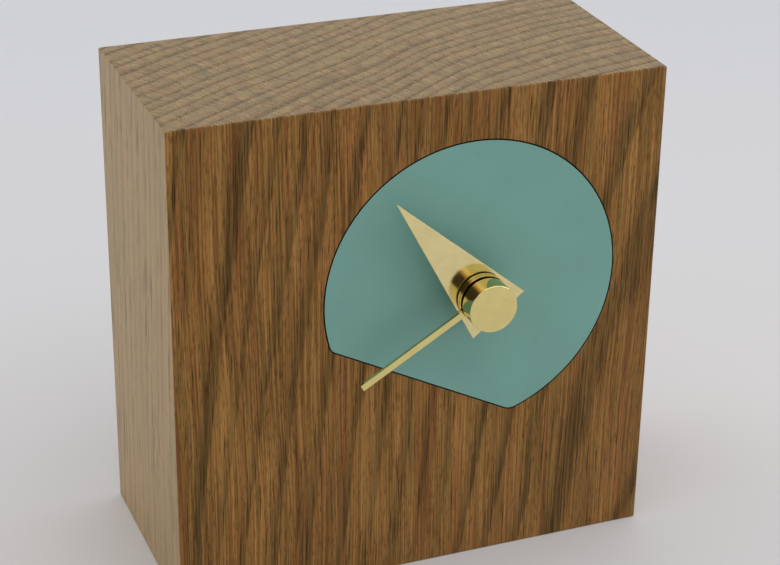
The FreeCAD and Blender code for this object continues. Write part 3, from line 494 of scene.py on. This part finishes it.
# Slot: material. The numbers after a colour are its roughness, the size of its fine texture and
# the depth of that texture.
MATERIALS = {
    "oak": oiled_oak(),
    "dial_laminate": dial_laminate(),
    "brass_hands": polished_brass(),
    "brass_turned": metal("turned_brass", BRASS, 0.22, 0.1, 0.004),
    "steel": metal("steel", (0.60, 0.59, 0.57), 0.25),
    "soft_iron": metal("soft_iron", (0.45, 0.44, 0.42), 0.40),
    "nickel": metal("nickel_plate", (0.66, 0.63, 0.58), 0.20),
    "copper_wire": metal("enamelled_wire", (0.75, 0.27, 0.12), 0.25, (0.08, 3.0, 3.0), 0.03),
    "magnet": metal("sintered_magnet", (0.30, 0.30, 0.31), 0.45, 0.2, 0.01),
    "rubber": moulded("gasket_rubber", (0.018, 0.018, 0.019), 0.75, 0.25, 0.03),
    "case_plastic": moulded("case_plastic", (0.020, 0.020, 0.022), 0.48, 0.35, 0.02),
    "gear_plastic": moulded("gear_plastic", (0.72, 0.70, 0.64), 0.35),
    "gear_plastic_dark": moulded("dark_gear_plastic", (0.05, 0.05, 0.055), 0.35),
    "bobbin_plastic": moulded("bobbin_plastic", (0.62, 0.56, 0.40), 0.45),
    "board": moulded("circuit_board", (0.03, 0.14, 0.06), 0.35, 0.60, 0.02),
    "resin": moulded("chip_resin", (0.01, 0.01, 0.011), 0.20, 1.20, 0.02),
    "battery_film": battery_film(),
}


def dress_frame():
    """Give each CAD node the material that goes with its slot."""
    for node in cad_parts.values():
        for slot in node.material_slots:
            slot.material = MATERIALS[slot.material.name.split(".")[0]]


# ---- Studio -------------------------------------------------------------------------
FLOOR_HALF = 8.0
FLOOR_NEAR_WARM_LIGHT = (0.672, 0.648, 0.630)
FLOOR_FAR_COOL_LIGHT = (0.640, 0.640, 0.662)
FLOOR_LIGHT_CHANGE = (-300.0, 500.0)       # where the painted warm light near the clock gives way to the cooler far tone, in y
FLOOR_CLOUD, FLOOR_SHADE = 400, (0.2, 0.8, 0.99, 1.01)
SKY = (0.94, 0.96, 1.0)
SKY_STRENGTH = 0.67
SCREEN = (0.030, 0.020, 0.022)
SCREEN_CENTRE = (-0.68, -1.28)       # where it stands on the floor, in front and to the left
SCREEN_SIZE = (1.15, 1.0)            # width and height
SCREEN_LIFT = 0.001
SCREEN_FOLDS, FOLD_SHADE = (90, 90, 400), (0.3, 0.7, 0.90, 1.10)


def panel(name, corners, material):
    """A flat piece of the studio."""
    mesh = bpy.data.meshes.new(name)
    mesh.from_pydata(corners, [], [(0, 1, 2, 3)])
    mesh.materials.append(material)
    made = bpy.data.objects.new(name, mesh)
    bpy.context.scene.collection.objects.link(made)
    return made


def floor():
    paper = Surface("paper_floor")
    tone = paper.noise(paper.mm, FLOOR_CLOUD, detail=1)
    # painted light: the floor is warmer near the clock, for light bounced off the wood, and cooler
    # further back
    colour = paper.mix(paper.ramp(paper.y, *FLOOR_LIGHT_CHANGE), FLOOR_NEAR_WARM_LIGHT, FLOOR_FAR_COOL_LIGHT)
    material = paper.finish(
        Base_Color=paper.shade(colour, paper.ramp(tone, *FLOOR_SHADE)),
        Roughness=0.9,
    )
    half = FLOOR_HALF
    panel("floor", [(-half, -half, 0), (half, -half, 0), (half, half, 0), (-half, half, 0)], material)


def screen():
    """A dark cloth screen for the polished brass to mirror."""
    cloth = Surface("dark_cloth")
    fold = cloth.noise(cloth.mm, SCREEN_FOLDS)
    material = cloth.finish(
        Base_Color=cloth.shade(SCREEN, cloth.ramp(fold, *FOLD_SHADE)),
        Roughness=0.9,
    )
    x, y = SCREEN_CENTRE
    width, height = SCREEN_SIZE
    across = Vector((-y, x, 0)).normalized() * width / 2
    foot, top = Vector((x, y, SCREEN_LIFT)), Vector((x, y, height))
    made = panel("screen", [foot - across, foot + across, top + across, top - across], material)
    made.visible_camera = False


def softbox(name, place, aim, size, power, colour=(1.0, 1.0, 1.0)):
    lamp = bpy.data.lights.new(name, "AREA")
    lamp.shape = "RECTANGLE"
    lamp.size, lamp.size_y = size
    lamp.energy = power
    lamp.color = colour
    made = bpy.data.objects.new(name, lamp)
    made.location = place
    made.rotation_mode = "QUATERNION"
    made.rotation_quaternion = (Vector(aim) - Vector(place)).to_track_quat("-Z", "Y")
    made.visible_camera = False
    bpy.context.scene.collection.objects.link(made)


def sky():
    world = bpy.data.worlds.new("sky")
    world.use_nodes = True
    background = world.node_tree.nodes["Background"]
    background.inputs["Color"].default_value = (*SKY, 1.0)
    background.inputs["Strength"].default_value = SKY_STRENGTH
    bpy.context.scene.world = world


def studio():
    floor()
    screen()
    sky()
    softbox("overhead", place=(0.2, -0.2, 1.3), aim=(0, 0, 0.08), size=(1.6, 1.6), power=6.6)
    softbox("right", place=(1.1, -0.6, 0.6), aim=(0, 0, 0.08), size=(0.9, 0.9), power=3.15)
    softbox("back_left", place=(-1.3, 1.0, 0.9), aim=(0, 0, 0.06), size=(1.4, 1.0), power=7.6,
            colour=(1.0, 0.95, 0.84))
    softbox("window", place=(-0.22, -1.10, 0.74), aim=(0, 0, 0.1), size=(0.40, 0.34), power=0.16,
            colour=(1.0, 0.64, 0.42))


# ---- Camera -------------------------------------------------------------------------
AZIMUTH = -21.817
ELEVATION = 26.087
ROLL = 0.816
AIM = Vector((-0.0101, -0.03487, 0.09725))
DISTANCE = 0.61036
LENS = 98.49
SENSOR_WIDTH = 36.0


def camera():
    data = bpy.data.cameras.new("camera")
    data.sensor_width = SENSOR_WIDTH
    data.lens = LENS
    made = bpy.data.objects.new("camera", data)
    swing = Matrix.Rotation(radians(AZIMUTH), 3, "Z") @ Matrix.Rotation(-radians(ELEVATION), 3, "X")
    back = swing @ Vector((0, -1, 0))
    roll = Quaternion((0, 0, 1), radians(ROLL))
    made.location = AIM + back * DISTANCE
    made.rotation_mode = "QUATERNION"
    made.rotation_quaternion = (-back).to_track_quat("-Z", "Y") @ roll
    bpy.context.scene.collection.objects.link(made)
    bpy.context.scene.camera = made


dress_frame()
studio()
camera()
bpy.context.scene.view_settings.view_transform = "Standard"
